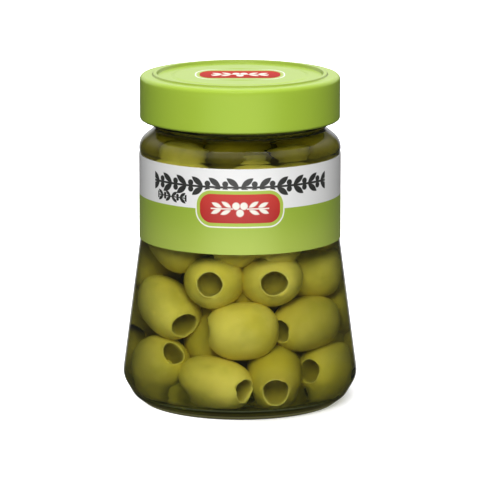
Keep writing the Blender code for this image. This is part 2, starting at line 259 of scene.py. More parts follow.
class Nodes:
    """The nodes of a material or of the world."""

    def __init__(self, owner):
        owner.use_nodes = True
        self.owner = owner
        self.tree = owner.node_tree
        self.tree.nodes.clear()

    def put(self, socket, value):
        if isinstance(value, Value):
            self.tree.links.new(value.socket, socket)
        elif socket.type == "RGBA":
            socket.default_value = (*value, 1.0)
        else:
            socket.default_value = value

    def node(self, kind, settings=None, sockets=None, out=0):
        """A node of a kind: its settings first, then the values or links of its sockets."""
        made = self.tree.nodes.new("ShaderNode" + kind)
        for name, value in (settings or {}).items():
            setattr(made, name, value)
        for name, value in (sockets or {}).items():
            self.put(made.inputs[name], value)
        return Value(self, made.outputs[out])

    def place(self):
        return self.node("TexCoord", out="Object")

    def split(self, vector):
        made = self.node("SeparateXYZ", sockets={0: vector}).socket.node
        return [Value(self, made.outputs[axis]) for axis in range(3)]

    def noise(self, place, scale, detail, rough, stretch=None):
        if stretch:
            place = self.node("Mapping", sockets={"Vector": place, "Scale": stretch})
        return self.node("TexNoise", sockets={
            "Vector": place, "Scale": scale, "Detail": detail, "Roughness": rough})

    def mix(self, factor, first, second):
        """A blend of two colours. A Mix node keeps its colours in sockets 6 and 7, and their blend in 2."""
        return self.node("Mix", {"data_type": "RGBA"}, {0: factor, 6: first, 7: second}, out=2)

    def bump(self, height, distance, strength):
        return self.node("Bump", sockets={"Height": height, "Distance": distance, "Strength": strength})

    def finish(self, surface, volume=None, kind="Material"):
        end = self.tree.nodes.new("ShaderNodeOutput" + kind)
        self.put(end.inputs["Surface"], surface)
        if volume:
            self.put(end.inputs["Volume"], volume)
        return self.owner


def linear(red, green, blue):
    """A colour as a picture shows it, 0 to 255, as the shader takes it."""
    return tuple(
        part / 12.92 if part <= 0.04045 else ((part + 0.055) / 1.055) ** 2.4
        for part in (red / 255, green / 255, blue / 255)
    )


def lets_lamps_through(nodes, shader, grazing=None):
    """The shader as the eye sees it, while lamps shine straight through it.
    With grazing, less of their light passes where it only grazes the surface."""
    clear = nodes.node("BsdfTransparent", sockets={"Color": (1.0, 1.0, 1.0)})
    if grazing:
        shut = nodes.node("BsdfTransparent", sockets={"Color": (0.05, 0.05, 0.04)})
        facing = nodes.node("LayerWeight", sockets={"Blend": 0.5}, out="Facing")
        clear = nodes.node("MixShader", sockets={0: facing.ramp(*grazing), 1: clear, 2: shut})
    lamp = nodes.node("LightPath", out="Is Shadow Ray")
    return nodes.node("MixShader", sockets={0: lamp, 1: shader, 2: clear})


def from_axis_of(x, y):
    """Distance from the jar's axis."""
    return (x * x + y * y).root()


def clear_glass():
    """Clear glass with a green body. Its thick foot has a painted glow, brightest in a line low down,
    standing in for the table's light caught in the glass.
    """
    nodes = Nodes(bpy.data.materials.new("clear_glass"))
    place = nodes.place()
    x, y, z = nodes.split(place)
    wave = nodes.noise(place, 38.0, 2.0, 0.4, stretch=(1.0, 1.0, 0.45))
    shoulder_wave = nodes.noise(place, 60.0, 2.0, 0.5, stretch=(0.35, 0.35, 4.0))
    shoulder_wave = shoulder_wave * z.ramp(PANEL_TOP, SHOULDER_HEIGHT) * 3.0
    # Painted glow: the foot and a line low down glow, standing in for light from the table.
    foot = z.ramp(3.4 * MM, 2.2 * MM)
    line = abs(z - 1.0 * MM).ramp(0.65 * MM, 0.25 * MM)
    line = line * from_axis_of(x, y).ramp(32.4 * MM, 32.8 * MM)
    painted_glow = nodes.mix(foot, (0.0, 0.0, 0.0), (0.017, 0.0145, 0.0035))
    painted_glow = nodes.mix(line, painted_glow, (0.085, 0.082, 0.036))
    shader = nodes.node("BsdfPrincipled", sockets={
        "Base Color": (0.95, 0.975, 0.93), "Roughness": 0.0, "IOR": 1.5, "Transmission Weight": 1.0,
        "Emission Color": painted_glow, "Emission Strength": 1.0,
        "Normal": nodes.bump(wave + shoulder_wave, 0.2 * MM, 0.35),
    })
    absorb = nodes.node("VolumeAbsorption", sockets={"Color": (0.42, 0.52, 0.08), "Density": 140.0})
    return nodes.finish(lets_lamps_through(nodes, shader, (0.44, 0.80)), absorb)


def brine():
    """Clear yellow-green liquid."""
    nodes = Nodes(bpy.data.materials.new("brine"))
    shader = nodes.node("BsdfPrincipled", sockets={
        "Base Color": (1.0, 1.0, 1.0), "Roughness": 0.0, "IOR": 1.345, "Transmission Weight": 1.0,
    })
    absorb = nodes.node("VolumeAbsorption", sockets={"Color": (0.62, 0.60, 0.07), "Density": 38.0})
    return nodes.finish(lets_lamps_through(nodes, shader), absorb)


def leaf_shape(across, up, middle, tilt, half_long, half_wide, soft):
    """How much a leaf with pointed ends covers a point: middle is where its centre is, tilt its turn."""
    cos, sin = math.cos(tilt), math.sin(tilt)
    right, rise = across - middle[0], up - middle[1]
    along = (right * cos + rise * sin) / half_long
    over = abs(rise * cos - right * sin)
    return (over - (1.0 - along * along) * half_wide).ramp(soft, -soft)


def dot_shape(across, up, middle, radius, soft):
    """How much a round fruit covers a point."""
    right, rise = across - middle[0], up - middle[1]
    return ((right * right + rise * rise).root() - radius).ramp(soft, -soft)


def sprig(across, up, size):
    """How much a small sprig covers a point: olives in the middle and leaves out to both sides."""
    side = abs(across) / size
    rise = up / size
    soft = 0.035
    shape = abs(rise).ramp(0.05, 0.02) * side.ramp(1.66, 1.62) * side.ramp(0.36, 0.40)
    for middle in SPRIG_FRUITS:
        shape = shape.most(dot_shape(side, rise, middle, 0.21, soft))
    for middle, tilt in SPRIG_LEAVES:
        shape = shape.most(leaf_shape(side, rise, middle, tilt, 0.31, 0.115, soft))
    return shape


def garland(across, rise, pitch, pairs):
    """How much a straight garland covers a point: pairs of leaves and fruits along a stem.
    Both sides of its middle are alike, each so many pairs long."""
    step = (abs(across) / pitch).math("FRACT") * GARLAND_PITCH
    height = abs(rise) * (GARLAND_PITCH / pitch)
    soft = 0.09 * MM
    leaf = leaf_shape(step, height, (2.35 * MM, 1.60 * MM), 0.62, 2.45 * MM, 0.98 * MM, soft)
    fruit = dot_shape(step, height, (4.75 * MM, 1.05 * MM), 0.98 * MM, soft)
    shape = height.ramp(0.44 * MM, 0.28 * MM).most(leaf).most(fruit)
    return shape * abs(across).ramp(pairs * pitch, (pairs - 0.01) * pitch)


def emblem(nodes, across, up, colour):
    """A plaque with round ends, over the colour: a pale line, a green margin, and red with a pale sprig."""
    corner = EMBLEM_HALF_HIGH * 0.86
    right = (abs(across) - (EMBLEM_HALF_WIDE - corner)).most(0.0)
    rise = (abs(up) - (EMBLEM_HALF_HIGH - corner)).most(0.0)
    out = (right * right + rise * rise).root() - corner
    soft = 0.05 * MM
    line = nodes.mix(out.ramp(soft, -soft), colour, linear(236, 236, 228))
    margin = nodes.mix((out + EMBLEM_LINE).ramp(soft, -soft), line, linear(166, 188, 72))
    shade = (up / EMBLEM_HALF_HIGH).ramp(-1.0, 1.0)
    red = nodes.mix(shade, linear(166, 26, 22), linear(190, 46, 36))
    filled = nodes.mix((out + EMBLEM_EDGE).ramp(soft, -soft), margin, red)
    size = (EMBLEM_HALF_HIGH - EMBLEM_EDGE) * 1.22
    return nodes.mix(sprig(across, up, size), filled, linear(238, 235, 224))


def label_print():
    """Paper, white above and green below, with two garlands on the white and an emblem over the middle."""
    nodes = Nodes(bpy.data.materials.new("label_print"))
    place = nodes.place()
    x, y, z = nodes.split(place)
    across = x.math("ARCTAN2", -y) * LABEL_RADIUS
    white = linear(233, 233, 232)
    # Painted sheen: the green is lighter towards its bottom.
    green = nodes.mix(z.ramp(LABEL_BOTTOM, BAND_EDGE), linear(170, 190, 80), linear(152, 177, 60))
    colour = nodes.mix(z.ramp(BAND_EDGE - 0.06 * MM, BAND_EDGE + 0.06 * MM), green, white)
    long_one = garland(across, z - GARLAND_HEIGHT, GARLAND_PITCH, GARLAND_PAIRS)
    short_one = garland(across + SHORT_TO_LEFT, z - SHORT_HEIGHT, SHORT_PITCH, SHORT_PAIRS)
    colour = nodes.mix(long_one.most(short_one), colour, linear(38, 38, 36))
    colour = emblem(nodes, across, z - EMBLEM_HEIGHT, colour)

    fibre = nodes.noise(place, 900.0, 4.0, 0.6)
    sheet_wave = nodes.noise(place, 60.0, 2.0, 0.5)
    shader = nodes.node("BsdfPrincipled", sockets={
        "Base Color": colour, "Roughness": 0.42 + fibre * 0.12, "IOR": 1.45,
        "Coat Weight": 0.5, "Coat Roughness": 0.25,
        "Normal": nodes.bump(fibre * 0.4 + sheet_wave, 0.04 * MM, 0.5),
    })
    return nodes.finish(shader)


def lid_lacquer():
    """Green lacquer with an emblem on top, painted shade at each bend of the ridge, and a pale coating
    inside.
    """
    nodes = Nodes(bpy.data.materials.new("lid_lacquer"))
    place = nodes.place()
    x, y, z = nodes.split(place)
    from_axis = from_axis_of(x, y)
    tone = nodes.noise(place, 30.0, 2.0, 0.5)
    colour = nodes.mix(tone.ramp(0.3, 0.7), linear(161, 188, 61), linear(157, 186, 58))
    on_top = (z - (LID_TOP - 2.0 * MM)).ramp(-0.2 * MM, 0.2 * MM)
    colour = nodes.mix(on_top, colour, emblem(nodes, x, y * LID_EMBLEM_SQUASH, colour))
    # Painted shade: narrow darker rings at each bend of the ridge, where shade falls.
    from_bend = abs(abs(from_axis - (RIDGE_RADIUS - 0.10 * MM)) - 0.75 * MM)
    bend_shade = from_bend.ramp(0.42 * MM, 0.24 * MM) * on_top
    colour = nodes.mix(bend_shade * 0.9, colour, linear(138, 158, 58))
    inside = from_axis.ramp(LID_RADIUS - 1.9 * MM, LID_RADIUS - 2.1 * MM)
    inside = inside * z.ramp(LID_TOP - 1.6 * MM, LID_TOP - 1.9 * MM)
    colour = nodes.mix(inside, colour, linear(225, 222, 205))
    inked = (x * x / 1.9 + y * y * 0.62).root().ramp(10.5 * MM, 9.5 * MM) * on_top
    peel = nodes.noise(place, 420.0, 3.0, 0.5)
    shader = nodes.node("BsdfPrincipled", sockets={
        "Base Color": colour, "Roughness": 0.34 + peel * 0.08, "IOR": 1.5, "Specular IOR Level": 0.0,
        "Coat Weight": 0.8 - inked * 0.62, "Coat Roughness": 0.30,
        "Normal": nodes.bump(peel, 0.02 * MM, 0.5),
    })
    return nodes.finish(shader)


def olive_skin():
    """Wet green skin, its tone from olive to olive, pale at the cut edge, and with painted shade darker
    down the hole.
    """
    nodes = Nodes(bpy.data.materials.new("olive_skin"))
    place = nodes.place()
    tone = nodes.node("Attribute", {"attribute_name": "tone"}, out="Fac")
    cut = nodes.node("Attribute", {"attribute_name": "cut"}, out="Fac")
    broad = nodes.noise(place, 95.0, 3.0, 0.55)
    fine = nodes.noise(place, 700.0, 3.0, 0.6)
    # The tone of the olives in the lists at the top is partly painted light and shade.
    ripe = nodes.mix(tone, linear(187, 168, 67), linear(248, 229, 116))
    mottled = nodes.mix(broad.ramp(0.40, 0.75) * 0.6, ripe, linear(186, 174, 66))
    dots = nodes.node("TexVoronoi", {"feature": "F1"}, {"Vector": place, "Scale": 620.0}, out="Distance")
    speck = dots.ramp(0.30, 0.12) * fine.ramp(0.42, 0.6)
    ripe_side = nodes.noise(place, 42.0, 1.0, 0.4).ramp(0.56, 0.70)
    warmer = nodes.mix(ripe_side * 0.5, mottled, linear(222, 202, 66))
    skin = nodes.mix(speck * 0.4, warmer, linear(226, 214, 118))
    lip = nodes.mix(cut.ramp(0.05, 0.4), skin, linear(226, 210, 116))
    # Painted shade: darker down the hole, where shade falls.
    deep = nodes.mix(cut.ramp(0.5, 0.7), lip, linear(172, 156, 68))
    height = broad * 0.5 + fine * 0.10 + speck * 0.10
    shader = nodes.node("BsdfPrincipled", sockets={
        "Base Color": deep, "Roughness": 0.38 + fine * 0.16, "IOR": 1.45,
        "Subsurface Weight": 0.18, "Subsurface Radius": (1.0, 0.85, 0.25), "Subsurface Scale": 1.6 * MM,
        "Normal": nodes.bump(height, 0.6 * MM, 0.6),
    })
    return nodes.finish(shader)


def painted_shade_core():
    """Painted shade: deep olive brown, with painted light lower down, where the gaps of the heap would let
    light in.
    """
    nodes = Nodes(bpy.data.materials.new("olive_core_painted_shade"))
    place = nodes.place()
    height = nodes.split(place)[2]
    tone = nodes.noise(place, 120.0, 3.0, 0.5)
    # Painted shade, with painted light low down.
    dark = nodes.mix(tone, linear(70, 62, 16), linear(104, 94, 30))
    colour = nodes.mix(height.ramp(34 * MM, 20 * MM), dark, linear(150, 138, 50))
    shader = nodes.node("BsdfPrincipled", sockets={
        "Base Color": colour, "Roughness": 0.6, "Normal": nodes.bump(tone, 1.0 * MM, 0.6)})
    return nodes.finish(shader)


def studio_floor():
    """White that glows by itself, less so near the jar on its right, where the jar's shadow then shows."""
    nodes = Nodes(bpy.data.materials.new("studio_floor"))
    x, y = nodes.split(nodes.place())[:2]
    away = from_axis_of(x, y).ramp(30 * MM, 100 * MM).most(x.ramp(12 * MM, -30 * MM))
    glow = nodes.mix(away, (0.30, 0.30, 0.30), (1.0, 1.0, 1.0))
    shader = nodes.node("BsdfPrincipled", sockets={
        "Base Color": (0.93, 0.93, 0.93), "Roughness": 0.9, "Specular IOR Level": 0.0,
        "Emission Color": glow, "Emission Strength": 1.0,
    })
    return nodes.finish(shader)


def rounded(corners, arc_steps=8):
    """Points of an outline through (radius, height, rounding) corners, each rounding an arc."""
    points = [Vector(corners[0][:2])]
    for before, corner, after in zip(corners, corners[1:], corners[2:]):
        middle, rounding = Vector(corner[:2]), corner[2]
        back = (Vector(before[:2]) - middle).normalized()
        ahead = (Vector(after[:2]) - middle).normalized()
        opening = back.angle(ahead)
        if rounding <= 0 or opening > math.radians(179):
            points.append(middle)
            continue
        reach = rounding / math.tan(opening / 2)
        centre = middle + (back + ahead).normalized() * rounding / math.sin(opening / 2)
        first = middle + back * reach - centre
        turn = first.angle_signed(middle + ahead * reach - centre)
        for step in range(arc_steps + 1):
            points.append(centre + Matrix.Rotation(-turn * step / arc_steps, 2) @ first)
    points.append(Vector(corners[-1][:2]))
    return points


def finely(outline, longest):
    """The outline with its long straight runs divided, so that small shapes follow them."""
    points = [outline[0]]
    for before, after in zip(outline, outline[1:]):
        parts = max(1, math.ceil((after - before).length / longest))
        points += [before.lerp(after, part / parts) for part in range(1, parts + 1)]
    return points


def turned_mesh(name, outline, steps, degrees=360.0, start=0.0):
    """A mesh turned about Z from an outline of (radius, height) points, which runs down its outer side."""
    profile = np.array([tuple(point) for point in outline])
    whole = degrees >= 360.0
    columns = steps if whole else steps + 1
    angles = np.radians(start + degrees * np.arange(columns) / steps)
    points, rows = [], []
    for radius, height in profile:
        on_axis = radius < 1e-7
        if on_axis:
            rows.append([len(points)] * columns)
            points.append((0.0, 0.0, height))
        else:
            rows.append(list(range(len(points), len(points) + columns)))
            points += [(radius * math.cos(angle), radius * math.sin(angle), height) for angle in angles]
    faces = []
    for upper, lower in zip(rows, rows[1:]):
        for column in range(columns if whole else columns - 1):
            beside = (column + 1) % columns
            corners = [upper[column], lower[column], lower[beside], upper[beside]]
            face = [corner for place, corner in enumerate(corners) if corner not in corners[:place]]
            if len(face) > 2:
                faces.append(face)
    mesh = bpy.data.meshes.new(name)
    mesh.from_pydata(points, [], faces)
    mesh.update()
    return mesh


def new_piece(name, mesh, finish, crisp_degrees=None):
    made = bpy.data.objects.new(name, mesh)
    bpy.context.scene.collection.objects.link(made)
    mesh.materials.clear()
    mesh.materials.append(finish)
    mesh.shade_smooth()
    if crisp_degrees:
        mesh.set_sharp_from_angle(angle=math.radians(crisp_degrees))
    return made


def as_plain_mesh(thing):
    """Puts what the object's modifiers make in its place, as a mesh without modifiers."""
    bpy.context.view_layer.update()
    graph = bpy.context.evaluated_depsgraph_get()
    mesh = bpy.data.meshes.new_from_object(thing.evaluated_get(graph))
    thing.modifiers.clear()
    thing.data = mesh


def inside_outline(arc_steps=8):
    """The inside of the glass, from the middle of its floor up to the rim."""
    return rounded([
        (0.0, FLOOR_MIDDLE, 0),
        (BASE_RING_INNER, FLOOR_EDGE, 3 * MM),
        (HEEL_RADIUS - WALL + 0.5 * MM, FLOOR_EDGE + 0.5 * MM, 3 * MM),
        (BELLY_RADIUS - WALL, BELLY_HEIGHT + 0.6 * MM, 6 * MM),
        (PANEL_RADIUS - WALL, PANEL_BOTTOM, 14 * MM),
        (PANEL_RADIUS - WALL, PANEL_TOP + 2.8 * MM, 4 * MM),
        (BORE_RADIUS, BORE_BOTTOM, 1.5 * MM),
        (BORE_RADIUS, RIM_TOP - 1.0 * MM, 0),
    ], arc_steps)


def glass_jar(finish):
    """The jar, turned from its inside and then, from the rim down, its outside."""
    outside = rounded([
        (BORE_RADIUS + 0.8 * MM, RIM_TOP, 0),
        (FINISH_RADIUS, RIM_TOP, 0.8 * MM),
        (FINISH_RADIUS, BEAD_TOP, 0),
        (BEAD_RADIUS, BEAD_TOP - 0.7 * MM, 0.4 * MM),
        (BEAD_RADIUS, BEAD_BOTTOM, 0.6 * MM),
        (NECK_RADIUS, BEAD_BOTTOM - 1.2 * MM, 0.5 * MM),
        (NECK_RADIUS, NECK_BOTTOM, 1.0 * MM),
        (SHOULDER_RADIUS, SHOULDER_HEIGHT, 5 * MM),
        (SHOULDER_RADIUS, PANEL_TOP + 0.8 * MM, 0.6 * MM),
        (PANEL_RADIUS, PANEL_TOP - 1.0 * MM, 0.6 * MM),
        (PANEL_RADIUS, PANEL_BOTTOM, 14 * MM),
        (BELLY_RADIUS, BELLY_HEIGHT, 7 * MM),
        (HEEL_RADIUS, HEEL_HEIGHT, 5 * MM),
        (BASE_RING_OUTER, 0.0, 1.6 * MM),
        (BASE_RING_INNER, 0.0, 0.4 * MM),
        (BASE_RING_INNER - 1.6 * MM, PUSH_UP / 3, 1.0 * MM),
        (0.0, PUSH_UP, 0),
    ])
    outline = finely(inside_outline() + outside, FINEST_GLASS)
    jar = new_piece("clear_glass_jar", turned_mesh("clear_glass_jar", outline, AROUND_GLASS), finish)
    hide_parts("glass_jar")
    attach(jar, "root")


def brine_fill(finish):
    """The liquid, which reaches just into the wall of the glass, so that no film of air shows."""
    wetted = []
    for point in inside_outline():
        if point.y < BRINE_TOP:
            out = BRINE_INTO_WALL if point.x > 1 * MM else 0.0
            down = BRINE_INTO_WALL if point.y < 12 * MM else 0.0
            wetted.append(Vector((point.x + out, point.y - down)))
    level = [Vector((0.0, BRINE_TOP)), Vector((BORE_RADIUS + BRINE_INTO_WALL, BRINE_TOP))]
    outline = finely(level + wetted[::-1], 3 * MM)
    fill = new_piece("brine", turned_mesh("brine", outline, AROUND_GLASS), finish, 60.0)
    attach(fill, "root")


def lid(finish):
    """The lid, turned from the middle of its top out, down its side and round the rolled edge."""
    curl = [
        Vector((LID_RADIUS - CURL * (1 - math.cos(angle)), LID_BOTTOM + CURL * (1 - math.sin(angle))))
        for angle in np.radians(np.linspace(0, CURL_DEGREES, 21))
    ]
    top = rounded([
        (0.0, LID_TOP - PANEL_SUNK + BUTTON_RISE, 0),
        (BUTTON_RADIUS, LID_TOP - PANEL_SUNK + BUTTON_RISE, 0.7 * MM),
        (BUTTON_RADIUS + 1.2 * MM, LID_TOP - PANEL_SUNK, 0.7 * MM),
        (RIDGE_RADIUS - 1.1 * MM, LID_TOP - PANEL_SUNK, 0.25 * MM),
        (RIDGE_RADIUS - 0.7 * MM, LID_TOP, 0.3 * MM),
        (RIDGE_RADIUS + 0.5 * MM, LID_TOP, 0.3 * MM),
        (RIDGE_RADIUS + 0.8 * MM, LID_TOP - RIDGE_RISE, 0.2 * MM),
        (LID_RADIUS, LID_TOP - RIDGE_RISE, LID_CORNER),
        (LID_RADIUS, LID_BOTTOM + CURL * 1.2, 0),
    ])
    outline = finely(top + curl, 1.5 * MM)
    shell = new_piece("twist_off_lid", turned_mesh("twist_off_lid", outline, AROUND_LID), finish)
    sheet = shell.modifiers.new("sheet", "SOLIDIFY")
    sheet.thickness = LID_SHEET
    sheet.offset = -1.0
    as_plain_mesh(shell)
    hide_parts("lid")
    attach(shell, "root")


def label(finish):
    """The paper strip, open at the back."""
    heights = np.linspace(LABEL_TOP, LABEL_BOTTOM, LABEL_ROWS)
    outline = [Vector((LABEL_RADIUS, height)) for height in heights]
    back = 90.0
    wrapped = turned_mesh("printed_label", outline, AROUND_LABEL, 360.0 - LABEL_GAP, back + LABEL_GAP / 2)
    strip = new_piece("printed_label", wrapped, finish)
    paper = strip.modifiers.new("paper", "SOLIDIFY")
    paper.thickness = LABEL_THICKNESS
    paper.offset = 1.0
    as_plain_mesh(strip)
    strip.data.set_sharp_from_angle(angle=math.radians(40))
    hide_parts("label")
    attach(strip, "root")


# Radius and height of the points of the glass's inside, from the lowest part of its floor up.
INSIDE = np.array([tuple(point) for point in inside_outline(2)])
INSIDE = INSIDE[np.argmin(INSIDE[:, 1]):]


def inner_radius(height):
    """Radius of the glass's inside at each height."""
    return np.interp(height, INSIDE[:, 1], INSIDE[:, 0])


def floor_height(radius):
    """Height of the glass's floor at each distance from the axis."""
    return np.interp(radius, (0.0, BASE_RING_INNER), (FLOOR_MIDDLE, FLOOR_EDGE))


def pointing(around, up):
    """Unit vector that points so many degrees round from the front and so many degrees up."""
    around, up = math.radians(around), math.radians(up)
    return np.array([math.sin(around) * math.cos(up), -math.cos(around) * math.cos(up), math.sin(up)])


def against_glass(around, height, space, radius):
    """Where the centre of a round olive is, so far round and up, that lies so far off the glass."""
    reach = inner_radius(height) - radius - CLEARANCE - space
    return pointing(around, 0) * reach + np.array([0.0, 0.0, height])


def set_by_hand(around, height, space, hole_around, hole_up, length, wide, tall):
    """One olive of the lists at the top of the script, from its row there."""
    radius = OLIVE_RADIUS * (wide + tall) / 2
    return {
        "centre": against_glass(around, height * MM, space * MM, radius),
        "hole": pointing(hole_around, hole_up),
        "half": OLIVE_HALF * length, "radius": radius, "held": True, "shows": True,
        "wide": OLIVE_RADIUS * wide, "tall": OLIVE_RADIUS * tall,
    }


def first_places(draw):
    """Where every olive starts: the front ones as listed, then rings, a little untidy, then the middle."""
    olives = [set_by_hand(*row) for row in FRONT_OLIVES]
    by_hand = [olive["centre"] for olive in olives]
    for ring, (height, count) in enumerate(RINGS):
        for place in range(count):
            around = 360.0 * (place + 0.5 * (ring % 2)) / count + draw.uniform(-5, 5)
            radius = OLIVE_RADIUS * draw.uniform(0.95, 1.03)
            centre = against_glass(around, (height + draw.uniform(-1.2, 1.2)) * MM, 0.0, radius)
            hole = pointing(around + draw.normal(0, 55), draw.normal(0, 35))
            half = OLIVE_HALF * draw.uniform(0.96, 1.08)
            nearest = min(np.linalg.norm(centre - other) for other in by_hand)
            if nearest > 1.25 * OLIVE_RADIUS:
                olives.append({
                    "centre": centre, "hole": hole, "half": half, "radius": radius,
                    "held": False, "shows": True, "wide": radius, "tall": radius,
                })
    for place, height in enumerate(MIDDLE):
        centre = pointing(MIDDLE_TURN * place, 0) * 4 * MM + np.array([0.0, 0.0, height * MM])
        radius = OLIVE_RADIUS * MIDDLE_SHARE
        olives.append({
            "centre": centre, "hole": pointing(draw.uniform(0, 360), draw.uniform(-60, 60)),
            "half": OLIVE_HALF, "radius": radius, "held": False, "shows": False,
            "wide": radius, "tall": radius,
        })
    return olives


def settle(olives, rounds=260):
    """Pushes overlapping olives apart and back inside the glass. Each counts as two balls, end to end.
    Those listed one by one stay, those that show drift out to the glass, and the rest give way."""
    share_of_push, drift_out = 0.35, 0.1
    centre = np.array([olive["centre"] for olive in olives])
    arm = np.array([olive["hole"] * (olive["half"] - olive["radius"]) for olive in olives])
    size = np.array([olive["radius"] for olive in olives])
    free = np.array([0.0 if olive["held"] else 1.0 for olive in olives])
    shows = np.array([olive["shows"] for olive in olives])
    count = len(olives)
    owner = np.tile(np.arange(count), 2)
    apart = size[owner][:, None] + size[owner][None, :]
    same = owner[:, None] == owner[None, :]
    for _ in range(rounds):
        ball = np.concatenate([centre + arm, centre - arm])
        gap = ball[:, None] - ball[None, :]
        distance = np.linalg.norm(gap, axis=2) + 1e-9
        push = np.where(same, 0.0, np.clip(apart - distance, 0.0, None))
        weight = np.where(free[owner][None, :] > 0, 0.5, 1.0)
        shove = (gap / distance[..., None] * (push * weight)[..., None]).sum(axis=1) * share_of_push
        moved = shove[:count] + shove[count:]
        centre += moved * free[:, None]
        height = np.clip(centre[:, 2], FLOOR_EDGE + size + 0.6 * MM, HEAP_TOP - size * 1.2)
        centre[:, 2] = np.where(free > 0, height, centre[:, 2])
        tip = np.abs(arm[:, 2])
        room = np.minimum(
            inner_radius(centre[:, 2] + size * 0.5), inner_radius(centre[:, 2] - size * 0.5))
        outward = centre[:, :2] / (np.linalg.norm(centre[:, :2], axis=1)[:, None] + 1e-9)
        side = np.abs((arm[:, :2] * outward).sum(axis=1))
        reach = room - size - side - CLEARANCE - 0.15 * tip
        now = np.linalg.norm(centre[:, :2], axis=1)
        wanted = np.where(now > reach, reach, np.where(shows, now + drift_out * (reach - now), now))
        centre[:, :2] = np.where(free[:, None] > 0, outward * wanted[:, None], centre[:, :2])
    for olive, place in zip(olives, centre):
        olive["centre"] = place
        seat(olive)
    return olives


def turn_of(olive):
    """How the olive is turned: its hole along its own Z, its width level, and its own Y nearly upright."""
    hole = Vector(olive["hole"])
    level = Vector((0, 0, 1)).cross(hole).normalized()
    return Matrix((level, hole.cross(level), hole)).transposed()


def seat(olive):
    """Moves one olive in, up or down, until its skin is clear of the glass and under the heap's top."""
    around, share = np.meshgrid(np.linspace(0, 2 * math.pi, 25), np.linspace(-1, 1, 17))
    sliced, bluntness = 0.93, 2.6
    ring = (1 - abs(sliced * share) ** bluntness) ** OLIVE_END
    skin = np.stack([
        olive["wide"] * ring * np.cos(around),
        olive["tall"] * ring * np.sin(around),
        olive["half"] * share,
    ], axis=-1).reshape(-1, 3) @ np.array(turn_of(olive)).T
    for _ in range(9):
        point = skin + olive["centre"]
        lowest = floor_height(np.hypot(point[:, 0], point[:, 1])) + CLEARANCE
        rise = max(0.0, (lowest - point[:, 2]).max())
        fall = max(0.0, (point[:, 2] - HEAP_TOP).max())
        olive["centre"] += np.array([0.0, 0.0, rise - fall])
        point = skin + olive["centre"]
        past = np.hypot(point[:, 0], point[:, 1]) - inner_radius(point[:, 2]) + CLEARANCE
        inward = np.array([olive["centre"][0], olive["centre"][1], 0.0])
        inward /= -np.linalg.norm(inward) - 1e-9
        olive["centre"] += inward * max(0.0, past.max())


def olive_variant(name, draw, wide, deep, blunt):
    """One pitted olive, its length along Z: a blunt barrel, a little uneven, sliced off at the hole.
    The mark on each ring of points grows from 0 on the skin, over the cut edge, to 1 deep in the hole."""
    around = 40
    hole = HOLE_RADIUS * wide
    skin_edge = hole + HOLE_LIP

    def radius_at(share):
        return OLIVE_RADIUS * (1 - abs(share) ** blunt) ** OLIVE_END

    shares = np.linspace(0, 1, 400)
    slice_share = shares[np.argmin(abs(radius_at(shares) - skin_edge))]
    rings = []
    for angle in np.linspace(0, 1, 24)[1:]:
        share = -math.cos(angle * (math.pi - math.acos(slice_share)))
        rings.append([radius_at(share), share * OLIVE_HALF, 0.0])
    top = slice_share * OLIVE_HALF
    rings += [
        [skin_edge - 0.10 * MM, top + 0.10 * MM, 0.25],
        [hole + 0.14 * MM, top + 0.12 * MM, 0.45],
        [hole, top + 0.02 * MM, 0.55],
        [hole * 0.985, top - 0.7 * MM, 0.62],
        [hole * 0.96, top - deep * 0.35, 0.75],
        [hole * 0.93, top - deep * 0.7, 0.9],
        [hole * 0.80, top - deep * 0.93, 1.0],
        [hole * 0.45, top - deep, 1.0],
    ]
    middle = (top - OLIVE_HALF) / 2
    fit = 2 * OLIVE_HALF / (top + OLIVE_HALF)
    phase = draw.uniform(0, 2 * math.pi, 8)
    sine = math.sin
    points, cut, faces = [(0.0, 0.0, (-OLIVE_HALF * 0.985 - middle) * fit)], [0.35], []
    for radius, height, mark in rings:
        up = height / OLIVE_HALF
        edge = math.exp(-((mark - 0.45) / 0.28) ** 2) if mark > 0 else 0.0
        for step in range(around):
            angle = 2 * math.pi * step / around
            swell = 1 + 0.020 * sine(2 * angle + phase[0])
            swell += 0.014 * sine(3 * angle + phase[1] + 2 * up)
            swell += 0.016 * sine(3.1 * up + angle + phase[2]) * (1 - edge)
            torn = 0.26 * sine(2 * angle + phase[3]) + 0.14 * sine(5 * angle + phase[4])
            torn += 0.09 * sine(11 * angle + phase[5])
            ragged = 0.018 * sine(4 * angle + phase[6]) + 0.010 * sine(9 * angle + phase[7])
            reach = radius * swell * (1 + edge * ragged)
            level = (height - middle) * fit + torn * edge * MM
            points.append((reach * math.cos(angle), reach * math.sin(angle), level))
            cut.append(mark)
    points.append((0.0, 0.0, (top - deep - middle) * fit))
    cut.append(1.0)
    count = len(rings)
    for step in range(around):
        beside = (step + 1) % around
        faces.append((0, 1 + beside, 1 + step))
        for ring in range(count - 1):
            low, high = 1 + ring * around, 1 + (ring + 1) * around
            faces.append((low + step, low + beside, high + beside, high + step))
        last = 1 + (count - 1) * around
        faces.append((last + step, last + beside, len(points) - 1))
    mesh = bpy.data.meshes.new(name)
    mesh.from_pydata(points, [], faces)
    mesh.attributes.new("cut", "FLOAT", "POINT").data.foreach_set("value", cut)
    mesh.shade_smooth()
    return bpy.data.objects.new(name, mesh)


